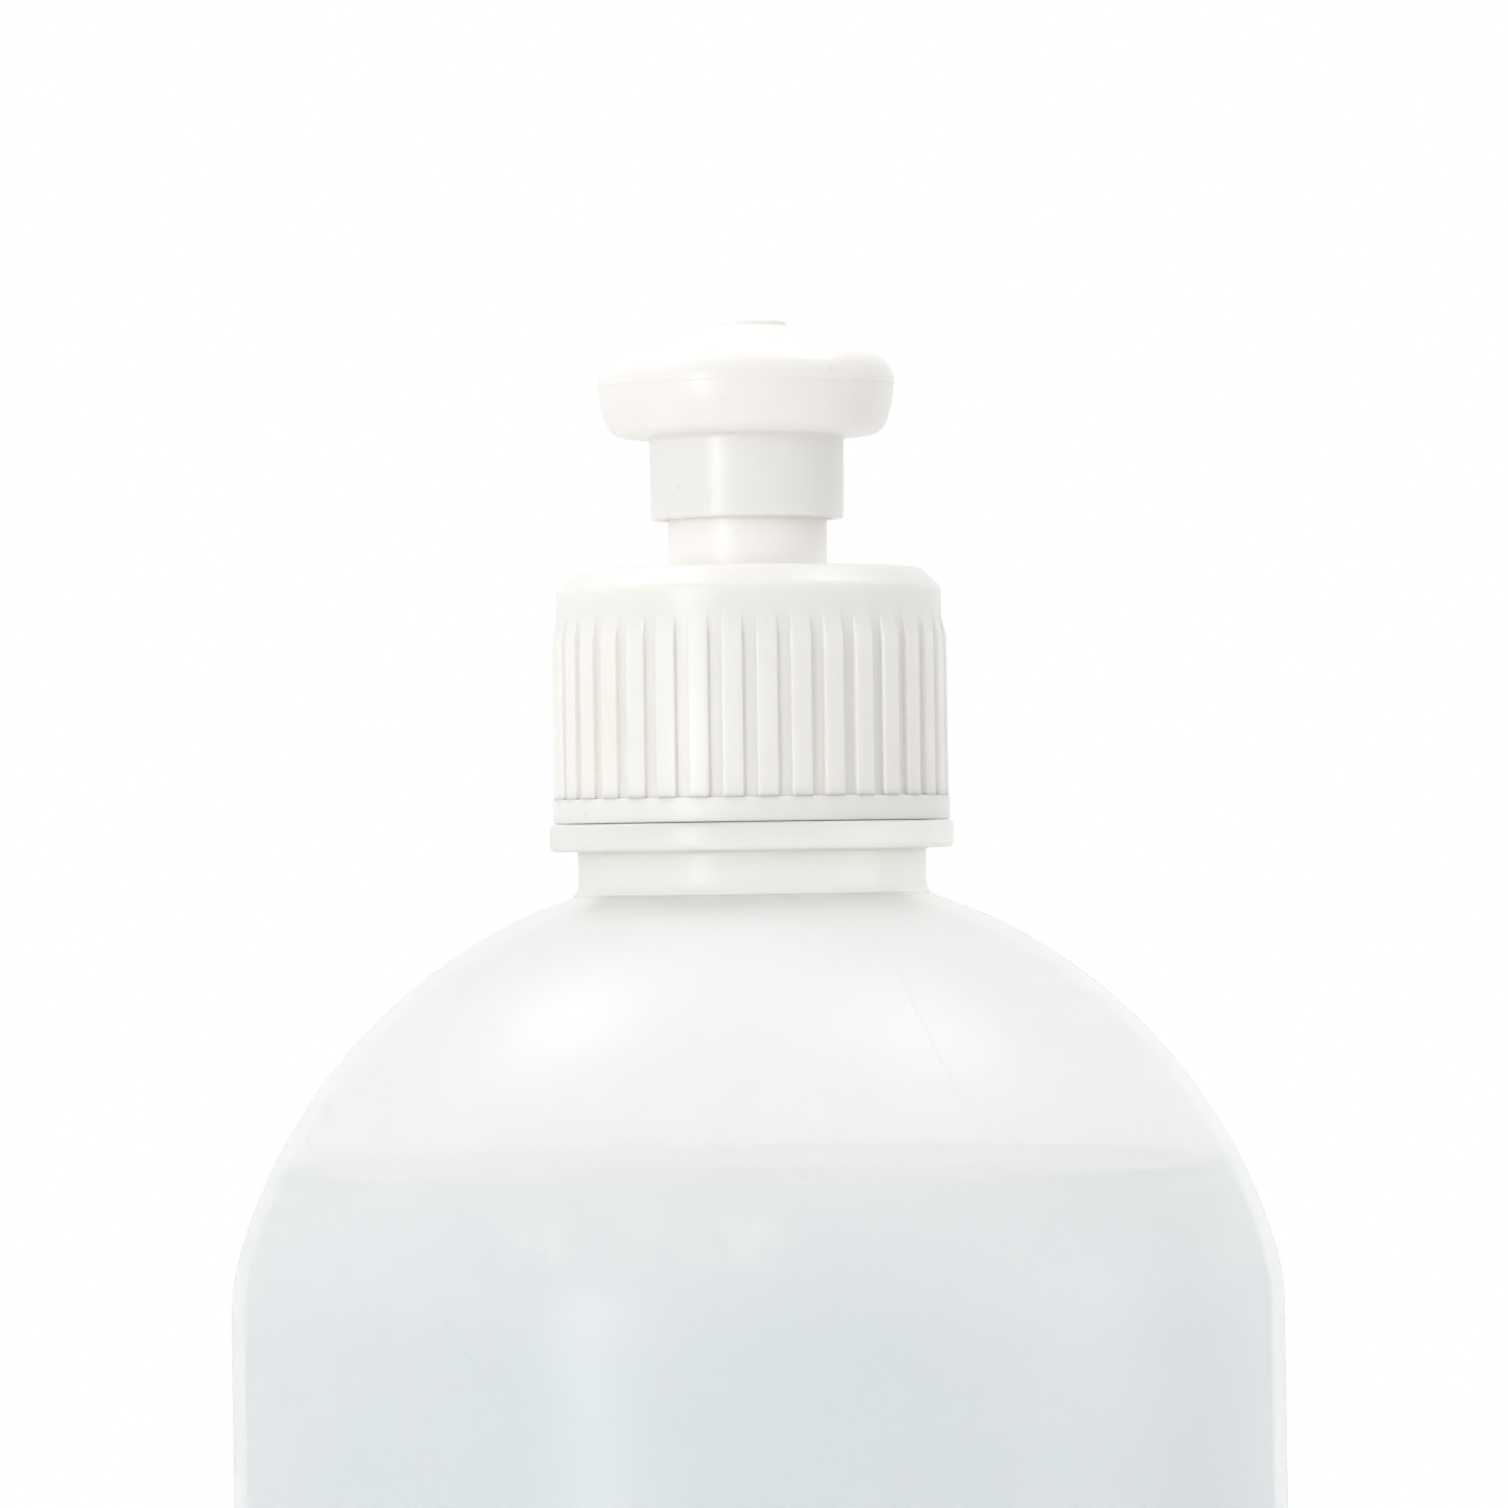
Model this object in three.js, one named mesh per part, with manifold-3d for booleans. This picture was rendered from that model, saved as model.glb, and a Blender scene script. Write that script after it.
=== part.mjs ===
// Round squeeze bottle with a screw-on push-pull closure, filled to the shoulder with clear liquid.
// Millimetres, +Z up. The origin is the centre of the base, on the surface the bottle stands on.
// The spout is modelled pulled up, in its open position.
import * as THREE from 'three';
import { mergeVertices } from 'three/addons/utils/BufferGeometryUtils.js';
import Module from 'manifold-3d';

const wasm = await Module();
wasm.setup();

// Bottle body, blow-moulded in one piece
const bodyRadius = 36.5;
const wallThickness = 0.9;
const sideHeight = 118.75;
const heelRadius = 5;
const shoulderBlendRadius = 16;
const domeRadius = 36.9;
const domeHeight = 28.9;
const pushUpHeight = 1.6;
const pushUpRadius = 22.5;
const standRingRadius = 27;

// Neck, from the dome to the rim
const neckRadius = 12.05;
const neckLength = 3.05;
const neckFillet = 1.2;
const neckMouthRadius = 10.4;
const flangeRadius = 14;
const flangeThickness = 1.8;
const flangeRound = 0.4;
const finishLength = 15.5;
const finishRootRadius = 10.9;
const boreRadius = 9.4;
const rimRound = 0.5;

// Screw thread: one lead, right-handed, on the neck and inside the cap
const threadPitch = 3.175;
const neckThreadHeight = 1;
const neckThreadTurns = 1.5;
const neckThreadTop = 1.7;
const neckThreadRootWidth = 1.9;
const neckThreadCrestWidth = 0.9;
const capThreadHeight = 0.95;
const capThreadTurns = 1;
const capThreadRootWidth = 1.3;
const capThreadCrestWidth = 0.6;
const threadFadeTurns = 0.08;
const threadSink = 0.4;
const threadRadialPlay = 0.4;
const threadAxialPlay = 0.3;

// Liquid
const fillAboveSide = 10.25;
const liquidGap = 0.3;

// Sealing washer between the rim and the cap
const washerThickness = 0.8;
const washerHoleRadius = 7.2;
const washerSideGap = 0.25;
const seatGap = 0.05;

// Cap skirt and deck
const capWall = 1.05;
const capSkirtGap = 0.15;
const capBandHeight = 1.65;
const capBandStep = 0.4;
const capBandRound = 0.25;
const deckThickness = 1.25;
const cornerRun = 1.45;
const cornerDrop = 1.35;
const cornerRound = 0.9;
const ribCount = 36;
const ribHeight = 0.28;
const ribWidthShare = 0.6;
const ribFlankShare = 0.05;
const ribTopDrop = 3.3;
const ribTopRamp = 1.6;

// Fixed post on the deck, with the retaining lip, the stopper pin and the webs that carry it
const postRadius = 5.5;
const postBoreRadius = 4.4;
const postFootRound = 0.3;
const lipOverhang = 0.35;
const lipHeight = 0.8;
const postNose = 0.3;
const pinRootRadius = 2.2;
const pinTipRadius = 1.75;
const pinTipRound = 0.5;
const pinTipInset = 0.15;
const pinFootDrop = 0.25;
const webCount = 3;
const webWidth = 1;
const webHeight = 1.2;

// Sliding spout
const spoutTravel = 3.4;
const spoutSeatGap = 0.07;
const slidePlay = 0.15;
const sleeveRadius = 6.75;
const sleeveDraft = 0.07;
const sleeveLength = 5.75;
const sleeveEdgeRound = 0.25;
const beadHeight = 0.9;
const headHeight = 8.05;
const headRadius = 10.33;
const headWidestDepth = 4.45;
const headUndersideRadius = 8.5;
const headFoot = 0.35;
const tipRadius = 2.95;
const tipEdge = 0.4;
const orificeLength = 2.2;
const orificePlay = 0.15;
const throatRadius = 2.6;
const throatHeight = 0.35;
const ceilingClearance = 1.1;

// Facets
const bodySegments = 48;
const capSegments = 2 * ribCount;
const spoutSegments = 36;
const chordTolerance = 0.08;
const bendFacets = 3;
const threadStepsPerTurn = 36;
const fullTurn = 2 * Math.PI;

// Heights that follow from the sizes above
const neckBase = sideHeight + domeHeight;
const flangeBottom = neckBase + neckLength;
const flangeTop = flangeBottom + flangeThickness;
const rimHeight = flangeTop + finishLength;
const fillLevel = sideHeight + fillAboveSide;
const washerBottom = rimHeight + seatGap;
const deckUnderside = washerBottom + washerThickness + seatGap;
const deckTop = deckUnderside + deckThickness;
const capBottom = flangeTop + capSkirtGap;
const sleeveBottom = deckTop + spoutSeatGap + spoutTravel;
const lipBottom = sleeveBottom + beadHeight + slidePlay;
const postTop = lipBottom + lipHeight + postNose;
const headUnderside = sleeveBottom + sleeveLength;
const headTop = headUnderside + headHeight;

// Radii that follow from the sizes above
const neckThreadCrestRadius = finishRootRadius + neckThreadHeight;
const capInnerRadius = neckThreadCrestRadius + threadRadialPlay;
const capRadius = capInnerRadius + capWall;
const capBandRadius = capRadius + capBandStep;
const washerRadius = capInnerRadius - washerSideGap;
const lipRadius = postRadius + lipOverhang;
const sleeveBoreRadius = lipRadius + slidePlay;
const beadBoreRadius = postRadius + slidePlay;
const orificeRadius = pinTipRadius + orificePlay;

// Arc of a turned outline, as [radius, height] points, with no more facets than its size needs
function arcPoints(centre, radius, fromAngle, toAngle) {
  const facetAngle = 2 * Math.acos(1 - Math.min(1, chordTolerance / radius));
  const facets = Math.ceil(Math.abs(toAngle - fromAngle) / facetAngle);
  const points = [];
  for (let i = 0; i <= facets; i += 1) {
    const angle = fromAngle + (toAngle - fromAngle) * i / facets;
    points.push([centre[0] + radius * Math.cos(angle), centre[1] + radius * Math.sin(angle)]);
  }
  return points;
}

// Soft curve of a turned outline, bent towards one control point
function bendPoints(from, control, to) {
  const toVector = ([r, z]) => new THREE.Vector2(r, z);
  const curve = new THREE.QuadraticBezierCurve(toVector(from), toVector(control), toVector(to));
  return curve.getPoints(bendFacets).map((point) => [point.x, point.y]);
}

// Round at one corner of an outline. The round is never longer than the edges beside it allow.
function filletPoints(before, corner, after, radius) {
  const at = new THREE.Vector2(corner[0], corner[1]);
  const back = new THREE.Vector2(before[0], before[1]).sub(at);
  const ahead = new THREE.Vector2(after[0], after[1]).sub(at);
  const longest = 0.48 * Math.min(back.length(), ahead.length());
  back.normalize();
  ahead.normalize();
  const half = Math.acos(THREE.MathUtils.clamp(back.dot(ahead), -1, 1)) / 2;
  const reach = Math.min(radius / Math.tan(half), longest);
  const rounded = reach * Math.tan(half);
  const centre = back.clone().add(ahead).normalize().multiplyScalar(rounded / Math.sin(half)).add(at);
  const start = back.multiplyScalar(reach).add(at).sub(centre);
  const end = ahead.multiplyScalar(reach).add(at).sub(centre);
  const from = start.angle();
  const sweep = Math.atan2(start.cross(end), start.dot(end));
  return arcPoints([centre.x, centre.y], rounded, from, from + sweep);
}

// Outline with its corners rounded. Each corner is [radius, height] or [radius, height, round].
function roundedOutline(corners, closed) {
  const count = corners.length;
  const outline = corners.flatMap((corner, i) => {
    if (!corner[2]) {
      return [[corner[0], corner[1]]];
    }
    return filletPoints(corners[(i + count - 1) % count], corner, corners[(i + 1) % count], corner[2]);
  });
  return closed ? [...outline, outline[0]] : outline;
}

// Closed geometry with shared vertices and no empty triangles
function weld(geometry) {
  geometry.deleteAttribute('normal');
  geometry.deleteAttribute('uv');
  const welded = mergeVertices(geometry, 1e-4);
  const { array } = welded.index;
  const kept = [];
  for (let i = 0; i < array.length; i += 3) {
    const [a, b, c] = [array[i], array[i + 1], array[i + 2]];
    if (a !== b && b !== c && c !== a) {
      kept.push(a, b, c);
    }
  }
  welded.setIndex(kept);
  return welded;
}

function toSolid(geometry) {
  const welded = weld(geometry);
  const vertProperties = Float32Array.from(welded.attributes.position.array);
  const triVerts = Uint32Array.from(welded.index.array);
  return new wasm.Manifold(new wasm.Mesh({ numProp: 3, vertProperties, triVerts }));
}

function toGeometry(solid) {
  const mesh = solid.getMesh();
  const geometry = new THREE.BufferGeometry();
  geometry.setAttribute('position', new THREE.BufferAttribute(mesh.vertProperties, 3));
  geometry.setIndex(new THREE.BufferAttribute(mesh.triVerts, 1));
  geometry.computeVertexNormals();
  return geometry;
}

// Turned solid about the Z axis. The outline runs outwards along the bottom and up the outside.
function revolve(outline, segments) {
  const points = outline.map(([r, z]) => new THREE.Vector2(Math.max(r, 0), z));
  return new THREE.LatheGeometry(points, segments).rotateX(Math.PI / 2);
}

// Helical ridge with a trapezium section that fades into its wall at both ends
function threadRidge({ rootRadius, crestRadius, rootWidth, crestWidth, turns, startHeight }) {
  const outward = Math.sign(crestRadius - rootRadius);
  const steps = Math.round(turns * threadStepsPerTurn);
  const positions = [];
  const index = [];
  for (let i = 0; i <= steps; i += 1) {
    const turn = turns * i / steps;
    const ease = Math.min(1, turn / threadFadeTurns, (turns - turn) / threadFadeTurns);
    const sunkRadius = rootRadius - outward * threadSink;
    const crest = THREE.MathUtils.lerp((sunkRadius + rootRadius) / 2, crestRadius, ease);
    const height = startHeight + threadPitch * turn;
    const section = [
      [sunkRadius, -rootWidth / 2],
      [crest, -crestWidth / 2],
      [crest, crestWidth / 2],
      [sunkRadius, rootWidth / 2],
    ];
    if (outward < 0) {
      section.reverse();
    }
    for (const [radius, rise] of section) {
      const angle = fullTurn * turn;
      positions.push(radius * Math.cos(angle), radius * Math.sin(angle), height + rise);
    }
  }
  for (let i = 0; i < steps; i += 1) {
    for (let j = 0; j < 4; j += 1) {
      const here = 4 * i + j;
      const beside = 4 * i + (j + 1) % 4;
      index.push(here, here + 4, beside + 4, here, beside + 4, beside);
    }
  }
  const last = 4 * steps;
  index.push(0, 1, 2, 0, 2, 3, last, last + 2, last + 1, last, last + 3, last + 2);
  const geometry = new THREE.BufferGeometry();
  geometry.setAttribute('position', new THREE.Float32BufferAttribute(positions, 3));
  geometry.setIndex(index);
  return geometry;
}

// Body outline from the axis out along the base, up the side and over the dome.
// It lies inside the outer surface by the inset, and ends where endAngle says on the dome arc.
function bodyOutline(inset, endAngle) {
  const dome = domeArc();
  const base = roundedOutline([
    [0, pushUpHeight + inset],
    [pushUpRadius, pushUpHeight + inset, heelRadius],
    [standRingRadius, inset, heelRadius / 3],
    [bodyRadius - inset, inset, heelRadius - inset],
    [bodyRadius - inset, sideHeight],
  ], false);
  const blendCentre = [bodyRadius - shoulderBlendRadius, sideHeight];
  const blend = arcPoints(blendCentre, shoulderBlendRadius - inset, 0, dome.startAngle);
  const arc = arcPoints(dome.centre, domeRadius - inset, dome.startAngle, endAngle(dome, inset));
  return [...base, ...blend.slice(1), ...arc.slice(1)];
}

// The dome arc runs on smoothly from the shoulder blend and meets the neck at the neck base
function domeArc() {
  const blendRadius = bodyRadius - shoulderBlendRadius;
  const across = neckRadius - blendRadius;
  const up = neckBase - sideHeight;
  const gap = domeRadius - shoulderBlendRadius;
  const reach = Math.hypot(across, up);
  const share = (domeRadius ** 2 - reach ** 2 - gap ** 2) / (2 * gap * reach);
  const startAngle = Math.atan2(up, across) - Math.acos(share);
  const centre = [blendRadius - gap * Math.cos(startAngle), sideHeight - gap * Math.sin(startAngle)];
  return { centre, startAngle };
}

function angleAtRadius(radius) {
  return (dome, inset) => Math.acos((radius - dome.centre[0]) / (domeRadius - inset));
}

function angleAtHeight(height) {
  return (dome, inset) => Math.asin((height - dome.centre[1]) / (domeRadius - inset));
}

function makeBottle() {
  const outside = bodyOutline(0, angleAtRadius(neckRadius + neckFillet));
  const neck = roundedOutline([
    outside[outside.length - 1],
    [neckRadius, neckBase, neckFillet],
    [neckRadius, flangeBottom],
    [flangeRadius, flangeBottom, flangeRound],
    [flangeRadius, flangeTop, flangeRound],
    [finishRootRadius, flangeTop],
    [finishRootRadius, rimHeight, rimRound],
    [boreRadius, rimHeight],
    [boreRadius, flangeBottom],
    [neckMouthRadius, neckBase],
  ], false);
  const inside = bodyOutline(wallThickness, angleAtRadius(neckMouthRadius)).reverse();
  const shell = toSolid(revolve([...outside, ...neck.slice(1), ...inside], bodySegments));
  const thread = toSolid(threadRidge({
    rootRadius: finishRootRadius,
    crestRadius: neckThreadCrestRadius,
    rootWidth: neckThreadRootWidth,
    crestWidth: neckThreadCrestWidth,
    turns: neckThreadTurns,
    startHeight: neckThreadStart(),
  }));
  return toGeometry(shell.add(thread));
}

function neckThreadStart() {
  return rimHeight - neckThreadTop - neckThreadTurns * threadPitch;
}

// The cap thread runs just under the neck thread, with the axial play between their flanks
function capThreadStart() {
  const overlap = neckThreadHeight + capThreadHeight - (capInnerRadius - finishRootRadius);
  const neckSlope = (neckThreadRootWidth - neckThreadCrestWidth) / neckThreadHeight;
  const neckWidth = neckThreadCrestWidth + neckSlope * overlap;
  return neckThreadStart() - (neckWidth + capThreadCrestWidth) / 2 - threadAxialPlay;
}

function makeLiquid() {
  const wall = bodyOutline(wallThickness + liquidGap, angleAtHeight(fillLevel));
  return weld(revolve([...wall, [0, fillLevel]], bodySegments));
}

function makeWasher() {
  const outline = roundedOutline([
    [washerHoleRadius, washerBottom],
    [washerRadius, washerBottom],
    [washerRadius, washerBottom + washerThickness],
    [washerHoleRadius, washerBottom + washerThickness],
  ], true);
  return weld(revolve(outline, bodySegments));
}

// Cap wall, deck and post turned in one, open at the bottom and through the post
function makeCapShell() {
  const outline = roundedOutline([
    [capInnerRadius, capBottom],
    [capBandRadius, capBottom, capBandRound],
    [capBandRadius, capBottom + capBandHeight],
    [capRadius, capBottom + capBandHeight],
    [capRadius, deckTop - cornerDrop, cornerRound],
    [capRadius - cornerRun, deckTop, cornerRound],
    [postRadius, deckTop, postFootRound],
    [postRadius, lipBottom],
    [lipRadius, lipBottom],
    [lipRadius, lipBottom + lipHeight],
    [postRadius - postNose, postTop],
    [postBoreRadius, postTop],
    [postBoreRadius, deckUnderside],
    [capInnerRadius, deckUnderside],
  ], true);
  return toSolid(revolve(outline, capSegments));
}

// Grip ribs: a toothed prism trimmed by a turned envelope that ramps down at the top
function makeRibs() {
  const rootRadius = capRadius - capWall / 4;
  const toothRadius = capRadius + capBandStep;
  const bottom = capBottom + capBandHeight / 2;
  const top = deckTop - ribTopDrop;
  const step = fullTurn / ribCount;
  const outline = [];
  for (let i = 0; i < ribCount; i += 1) {
    for (const [share, radius] of [
      [-ribWidthShare / 2 - ribFlankShare, rootRadius],
      [-ribWidthShare / 2, toothRadius],
      [ribWidthShare / 2, toothRadius],
      [ribWidthShare / 2 + ribFlankShare, rootRadius],
    ]) {
      const angle = step * (i + share);
      outline.push(new THREE.Vector2(radius * Math.cos(angle), radius * Math.sin(angle)));
    }
  }
  const shape = new THREE.Shape(outline);
  const prism = new THREE.ExtrudeGeometry(shape, { depth: deckTop - bottom, bevelEnabled: false });
  const envelope = roundedOutline([
    [rootRadius - capWall / 4, bottom],
    [capRadius + ribHeight, bottom],
    [capRadius + ribHeight, top - ribTopRamp],
    [capRadius, top],
    [rootRadius - capWall / 4, top],
  ], true);
  return toSolid(prism.translate(0, 0, bottom)).intersect(toSolid(revolve(envelope, capSegments)));
}

// Stopper pin on its webs, in the middle of the post
function makePin() {
  const webBottom = postTop - postNose - webHeight;
  const pinTop = headTop - spoutTravel - pinTipInset;
  const tipFoot = headUnderside - spoutTravel;
  const outline = roundedOutline([
    [0, webBottom - pinFootDrop],
    [pinRootRadius, webBottom - pinFootDrop],
    [pinRootRadius, postTop],
    [pinTipRadius, Math.max(tipFoot, postTop + postNose)],
    [pinTipRadius, pinTop, pinTipRound],
    [0, pinTop],
  ], false);
  let pin = toSolid(revolve(outline, spoutSegments));
  const webLength = (postBoreRadius + postRadius) / 2;
  for (let i = 0; i < webCount; i += 1) {
    const web = new THREE.BoxGeometry(webLength, webWidth, webHeight);
    web.translate(webLength / 2, 0, webBottom + webHeight / 2);
    web.rotateZ(fullTurn * (i / webCount + 0.25));
    pin = pin.add(toSolid(web));
  }
  return pin;
}

function makeCap() {
  const thread = toSolid(threadRidge({
    rootRadius: capInnerRadius,
    crestRadius: capInnerRadius - capThreadHeight,
    rootWidth: capThreadRootWidth,
    crestWidth: capThreadCrestWidth,
    turns: capThreadTurns,
    startHeight: capThreadStart(),
  }));
  return toGeometry(makeCapShell().add(makeRibs()).add(thread).add(makePin()));
}

// Spout: sleeve with its catch bead at the foot, and the flared head with the orifice.
// The foot of the bore is chamfered, so that it clears the round at the foot of the post.
function makeSpout() {
  const shoulderRadius = headRadius - headHeight / 4;
  const widest = headTop - headWidestDepth;
  const shoulder = headTop - headHeight / 4;
  const flare = bendPoints(
    [tipRadius, headTop - tipEdge],
    [(tipRadius + shoulderRadius) / 2, (headTop + shoulder) / 2 - tipEdge],
    [shoulderRadius, shoulder],
  ).reverse();
  const rim = bendPoints([headRadius, widest], [headRadius, shoulder], [shoulderRadius, shoulder]);
  const edge = headUnderside + headHeight / 8;
  const edgeRadius = headRadius - headHeight / 14;
  const flank = bendPoints([edgeRadius, edge], [headRadius, (edge + widest) / 2], [headRadius, widest]);
  const lowerEdge = bendPoints(
    [headUndersideRadius, headUnderside],
    [(headUndersideRadius + edgeRadius) / 2 + headFoot / 2, headUnderside],
    [edgeRadius, edge],
  );
  const outline = roundedOutline([
    [beadBoreRadius + postFootRound, sleeveBottom],
    [sleeveRadius - sleeveDraft, sleeveBottom, sleeveEdgeRound],
    [sleeveRadius, headUnderside, headFoot],
    ...lowerEdge,
    ...flank.slice(1),
    ...rim.slice(1),
    ...flare.slice(1),
    [tipRadius, headTop],
    [orificeRadius, headTop],
    [orificeRadius, headTop - orificeLength],
    [throatRadius, headTop - orificeLength - throatHeight],
    [sleeveBoreRadius, postTop + spoutTravel + ceilingClearance],
    [sleeveBoreRadius, sleeveBottom + beadHeight],
    [beadBoreRadius, sleeveBottom + beadHeight],
    [beadBoreRadius, sleeveBottom + postFootRound],
  ], true);
  return weld(revolve(outline, spoutSegments));
}

const naturalPlastic = new THREE.MeshStandardMaterial({
  color: 0xe9ebe8,
  roughness: 0.35,
  metalness: 0,
  transparent: true,
  opacity: 0.6,
});
const clearLiquid = new THREE.MeshStandardMaterial({ color: 0xc9d6dd, roughness: 0.1, metalness: 0 });
const whitePlastic = new THREE.MeshStandardMaterial({ color: 0xf1efea, roughness: 0.4, metalness: 0 });
const spoutPlastic = new THREE.MeshStandardMaterial({ color: 0xf4f2ee, roughness: 0.35, metalness: 0 });
const foam = new THREE.MeshStandardMaterial({ color: 0xf7f6f1, roughness: 0.9, metalness: 0 });

const pieces = [
  ['bottle', makeBottle(), naturalPlastic],
  ['liquid', makeLiquid(), clearLiquid],
  ['sealing_washer', makeWasher(), foam],
  ['cap', makeCap(), whitePlastic],
  ['spout', makeSpout(), spoutPlastic],
];

const group = new THREE.Group();
for (const [name, geometry, material] of pieces) {
  const mesh = new THREE.Mesh(geometry, material);
  mesh.name = name;
  group.add(mesh);
}

export default group;
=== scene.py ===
# %% [markdown]
# A squeeze bottle of descaling liquid, as it stands in a white photo studio.
# The real thing is a blow-moulded milky bottle, the clear liquid in it, a ribbed screw cap with a
# fixed post, a foam washer under the cap, and a spout that slides on the post. The solid model
# already says where each piece is, so it is loaded first and every new piece is fitted to it.

# %% Load the solid model
import math

import bpy
from mathutils import Euler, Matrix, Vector


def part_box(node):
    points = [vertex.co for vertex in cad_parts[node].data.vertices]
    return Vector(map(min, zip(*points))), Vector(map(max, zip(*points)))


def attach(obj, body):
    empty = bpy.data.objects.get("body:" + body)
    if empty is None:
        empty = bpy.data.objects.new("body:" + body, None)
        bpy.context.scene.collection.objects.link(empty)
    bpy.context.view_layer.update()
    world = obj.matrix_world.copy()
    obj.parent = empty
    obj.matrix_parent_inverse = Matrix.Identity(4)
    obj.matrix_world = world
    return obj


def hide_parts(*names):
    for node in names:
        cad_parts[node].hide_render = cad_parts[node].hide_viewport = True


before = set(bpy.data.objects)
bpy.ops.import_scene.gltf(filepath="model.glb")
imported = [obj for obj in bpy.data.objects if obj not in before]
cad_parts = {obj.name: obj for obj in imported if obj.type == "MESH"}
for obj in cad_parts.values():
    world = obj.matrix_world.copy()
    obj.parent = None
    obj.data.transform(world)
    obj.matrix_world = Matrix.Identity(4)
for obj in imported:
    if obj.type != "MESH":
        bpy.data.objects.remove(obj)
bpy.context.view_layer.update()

# %% [markdown]
# Makers of plastic bottles write sizes in millimetres, and Blender works in metres. One factor turns
# the first into the second. The heights that matter and the radius of the body, which is measured
# under its mould line, are read from the solid model, so the dressed bottle stays where the solid
# one is. WELD alone is in metres: points that lie closer together than this are merged.

# %% Units and heights
MM = 0.001
WELD = 1e-6


def height_of(node, end):
    """Height of a solid piece's lower end (0) or upper end (1), in millimetres."""
    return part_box(node)[end].z / MM


RIM = height_of("bottle", 1)
CAP_BOTTOM = height_of("cap", 0)
PIN_TOP = height_of("cap", 1)
WASHER_BOTTOM = height_of("sealing_washer", 0)
WASHER_TOP = height_of("sealing_washer", 1)
SPOUT_BOTTOM = height_of("spout", 0)
SPOUT_TOP = height_of("spout", 1)
LIQUID_LEVEL = height_of("liquid", 1)
SEAM_HEIGHT = 0.05
BODY_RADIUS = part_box("bottle")[1].x / MM - SEAM_HEIGHT
print("rim at", round(RIM, 2), "mm, liquid at", round(LIQUID_LEVEL, 2), "mm")

# %% [markdown]
# Every piece here is round about one upright axis, as it comes from a mould or a lathe. Such a form
# could be pushed out of a cylinder ring by ring. Drawing half of its section once and spinning that
# is surer, because the section is where a designer sets wall, rounds and clearances. The section is
# a list of points, and its round stretches come from arcs and from soft bends, which lean on one
# control point as a curve handle does.

# %% Stretches of a section
def arc(centre, radius, start, end, steps):
    """Points on an arc about (radius, height), from one angle in degrees to another."""
    angles = [math.radians(start + (end - start) * i / steps) for i in range(steps + 1)]
    return [(centre[0] + radius * math.cos(a), centre[1] + radius * math.sin(a)) for a in angles]


def bend(start, control, end, steps):
    """Points on a soft curve that leaves and arrives towards one control point."""
    points = []
    for i in range(steps + 1):
        t = i / steps
        shares = ((1 - t) ** 2, 2 * t * (1 - t), t ** 2)
        points.append(tuple(sum(s * p[k] for s, p in zip(shares, (start, control, end))) for k in (0, 1)))
    return points


# %% [markdown]
# No moulded edge is quite sharp. A Bevel modifier could round them all by one amount. Here each
# corner of the section carries its own round instead, as on a drawing: an arc is laid between the
# two edges, and it starts and ends where it touches them.

# %% Corners with rounds
ROUND_STEPS = 5


def rounded(corners, steps=ROUND_STEPS):
    """A section with rounds. A corner is (radius, height) or (radius, height, round)."""
    points = []
    for i, corner in enumerate(corners):
        if len(corner) == 2:
            points.append(tuple(corner))
            continue
        at = Vector(corner[:2])
        back = (Vector(corners[i - 1][:2]) - at).normalized()
        ahead = (Vector(corners[(i + 1) % len(corners)][:2]) - at).normalized()
        half = back.angle(ahead) / 2
        start = at + back * corner[2] / math.tan(half)
        end = at + ahead * corner[2] / math.tan(half)
        centre = at + (back + ahead).normalized() * corner[2] / math.sin(half)
        first, last = start - centre, end - centre
        turn = math.atan2(first.x * last.y - first.y * last.x, first.dot(last))
        angle = math.degrees(math.atan2(first.y, first.x))
        points += arc(centre, corner[2], angle, angle + math.degrees(turn), steps)
    return points


# %% [markdown]
# By hand, a spun piece starts as one vertex. A small plane is added and merged to its centre, the
# vertex is moved to the first point of the section, and each extrude draws the next edge. Spin then
# carries the section once round the axis. Merging by distance closes the seam and the poles, and the
# normals are made to point outwards.

# %% Draw a section and spin it
def spun(name, section, steps):
    """A mesh object made by spinning a section, in millimetres, once round the Z axis."""
    bpy.ops.object.select_all(action="DESELECT")
    bpy.ops.mesh.primitive_plane_add(size=MM, location=(0, 0, 0))
    piece = bpy.context.object
    piece.name = name
    piece.data.name = name
    bpy.ops.object.mode_set(mode="EDIT")
    bpy.ops.mesh.select_mode(type="VERT")
    bpy.ops.mesh.select_all(action="SELECT")
    bpy.ops.mesh.merge(type="CENTER")
    bpy.ops.transform.translate(value=(section[0][0] * MM, 0, section[0][1] * MM))
    for here, there in zip(section, section[1:]):
        step = ((there[0] - here[0]) * MM, 0, (there[1] - here[1]) * MM)
        bpy.ops.mesh.extrude_region_move(TRANSFORM_OT_translate={"value": step})
    bpy.ops.mesh.select_all(action="SELECT")
    bpy.ops.mesh.spin(steps=steps, angle=2 * math.pi, center=(0, 0, 0), axis=(0, 0, 1))
    bpy.ops.mesh.select_all(action="SELECT")
    bpy.ops.mesh.remove_doubles(threshold=WELD)
    bpy.ops.mesh.normals_make_consistent(inside=False)
    bpy.ops.object.mode_set(mode="OBJECT")
    print(name, "faces:", len(piece.data.polygons))
    return piece


# %% [markdown]
# Details such as ribs and a mould line are worked into the spun form afterwards. With no mouse, the
# faces, edges or points to work on are picked in code, by their place on the piece.

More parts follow.
